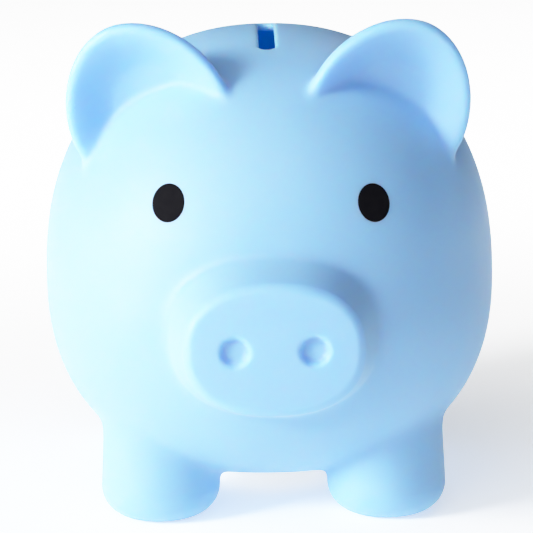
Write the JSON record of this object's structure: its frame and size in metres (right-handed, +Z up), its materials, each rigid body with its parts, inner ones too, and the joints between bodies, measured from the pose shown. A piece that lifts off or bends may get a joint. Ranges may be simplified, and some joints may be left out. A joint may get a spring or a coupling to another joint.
{
  "type": "piggy bank",
  "caption": "Round hollow pig-shaped coin bank with big cupped ears, oval snout, four short feet, a slot on top and a pull-out belly stopper.",
  "frame": {"origin": "on the surface that the bank stands on, under the middle of its bounding box", "axes": "+Z up; -Y the way the snout points; +Y towards the tail, along its greatest length; +X towards the pig's own left ear"},
  "size_m": [0.1388, 0.1752, 0.1504],
  "materials": {
    "shell_vinyl": "matte",
    "stopper_vinyl": "satin",
    "eye_ink": "matte"
  },
  "bodies": {
    "shell": {"body_shell": "shell_vinyl", "eye_left": "eye_ink", "eye_right": "eye_ink"},
    "stopper": {"belly_stopper": "stopper_vinyl"}
  },
  "joints": [
    {"name": "stopper_pull", "type": "slide", "parent": "shell", "child": "stopper", "axis": [0, 0, -1], "range_m": [0, 0.0075]}
  ]
}
